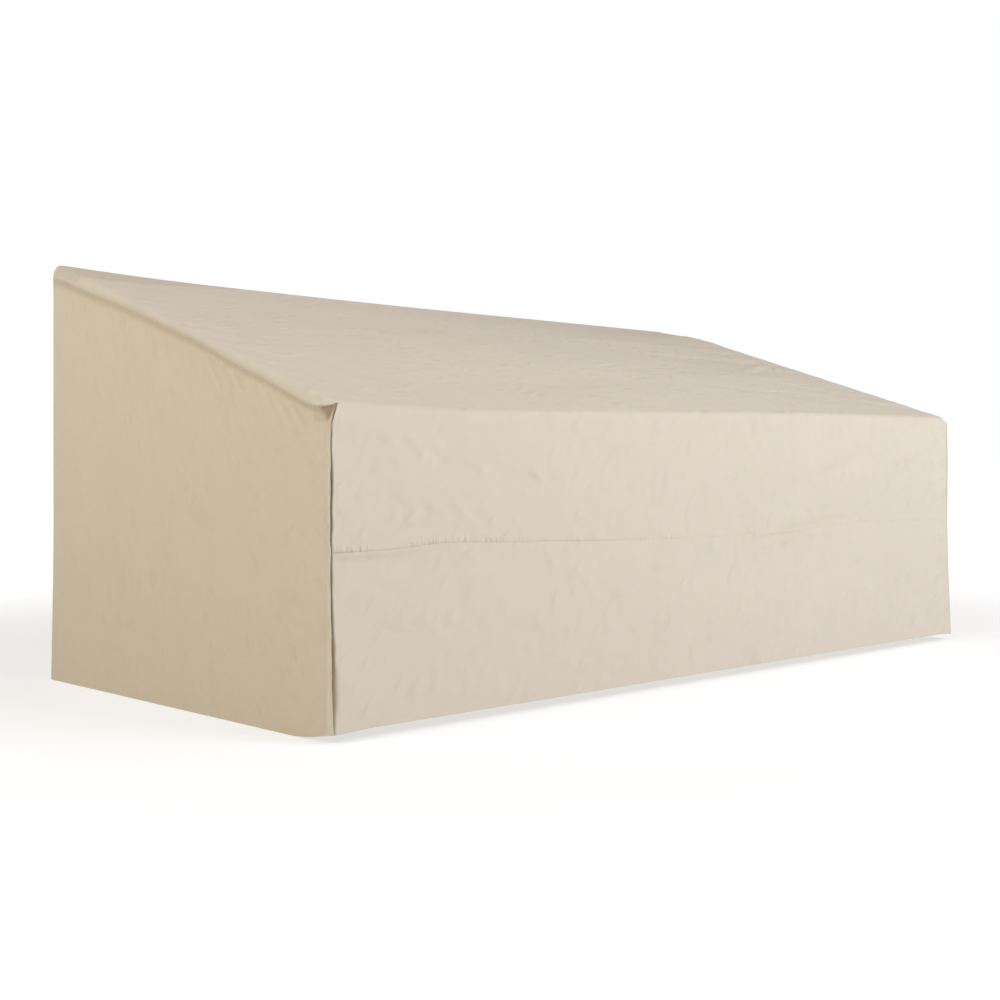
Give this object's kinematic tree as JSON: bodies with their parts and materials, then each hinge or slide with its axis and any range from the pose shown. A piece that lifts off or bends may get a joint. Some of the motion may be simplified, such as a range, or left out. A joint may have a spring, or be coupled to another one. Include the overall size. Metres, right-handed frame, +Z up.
{
  "type": "outdoor sofa cover",
  "caption": "Fitted outdoor sofa cover: sewn panels of coated beige cloth, hollow and open below, in the shape it takes over a high-backed sofa.",
  "frame": {"origin": "on the floor, under the middle of the cover's outer box", "axes": "+X along the sofa towards the right end as seen from the front, +Y from the front to the back, +Z up"},
  "size_m": [2.022, 0.9943, 0.8873],
  "materials": {
    "cover_cloth_front": "matt, fine plain weave, coated inside",
    "cover_cloth_side": "matt, fine plain weave, coated inside"
  },
  "bodies": {
    "root": {"top_front_panel": "cover_cloth_front", "lower_front_panel": "cover_cloth_front", "left_side_panel": "cover_cloth_side", "right_side_panel": "cover_cloth_side", "back_panel": "cover_cloth_side"}
  },
  "joints": []
}
